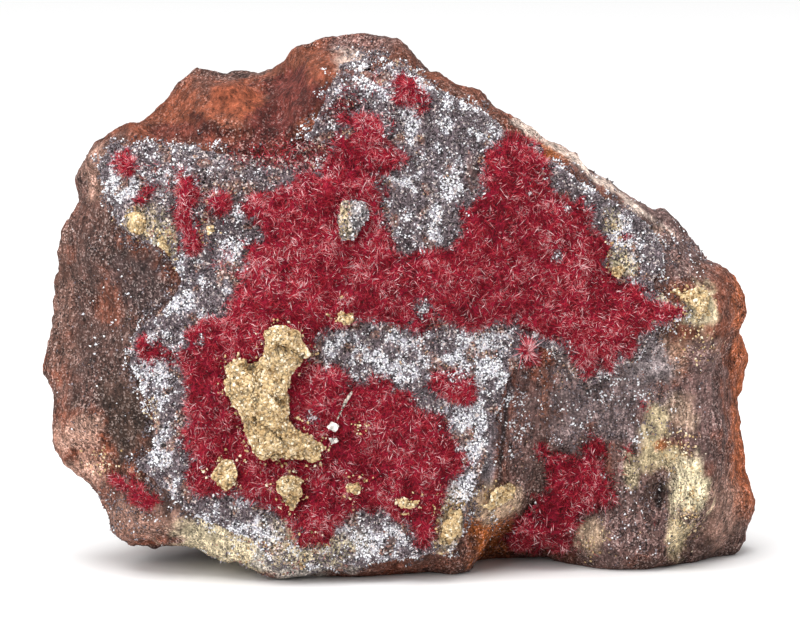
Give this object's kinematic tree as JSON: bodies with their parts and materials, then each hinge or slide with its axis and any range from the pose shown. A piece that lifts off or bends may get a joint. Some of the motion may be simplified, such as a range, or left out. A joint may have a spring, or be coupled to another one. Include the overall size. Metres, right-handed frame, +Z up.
{
  "type": "chalcotrichite specimen",
  "caption": "Broken iron-stained stone with an open face lined with sparkling druse and felted with red needle mats and ochre lumps; stands on its flat base for display",
  "frame": {"origin": "on the surface that the stone stands on, under the middle of its bounding box", "axes": "+X to the right along the open face, +Y from the open face to the back, +Z up"},
  "size_m": [0.0916, 0.0456, 0.0683],
  "materials": {
    "ironstone": "rough, matt",
    "druse": "sparkling crystal crust",
    "chalcotrichite": "silky felt of fine needles",
    "ochre": "earthy, matt",
    "calcite": "white, glossy",
    "greystone": "dull"
  },
  "bodies": {
    "root": {"matrix": "ironstone", "druse_lining": "druse", "mat_main": "chalcotrichite", "mat_window": "chalcotrichite", "mat_crown": "chalcotrichite", "mat_west": "chalcotrichite", "mat_north_west_spot": "chalcotrichite", "mat_north_west_strip": "chalcotrichite", "mat_north_west_streak": "chalcotrichite", "mat_north_blush": "chalcotrichite", "mat_spray": "chalcotrichite", "mat_base_right": "chalcotrichite", "mat_base_left": "chalcotrichite", "ochre_large": "ochre", "ochre_south_west": "ochre", "ochre_south": "ochre", "ochre_south_east": "ochre", "ochre_base": "ochre", "ochre_bead": "ochre", "ochre_north_west": "ochre", "ochre_north_west_streak": "ochre", "ochre_north": "ochre", "ochre_east_crumb": "ochre", "ochre_foot": "ochre", "ochre_east": "ochre", "ochre_lip": "ochre", "stone_chip": "greystone", "white_grain_upper": "calcite", "white_grain_lower": "calcite", "sliver": "greystone"}
  },
  "joints": []
}
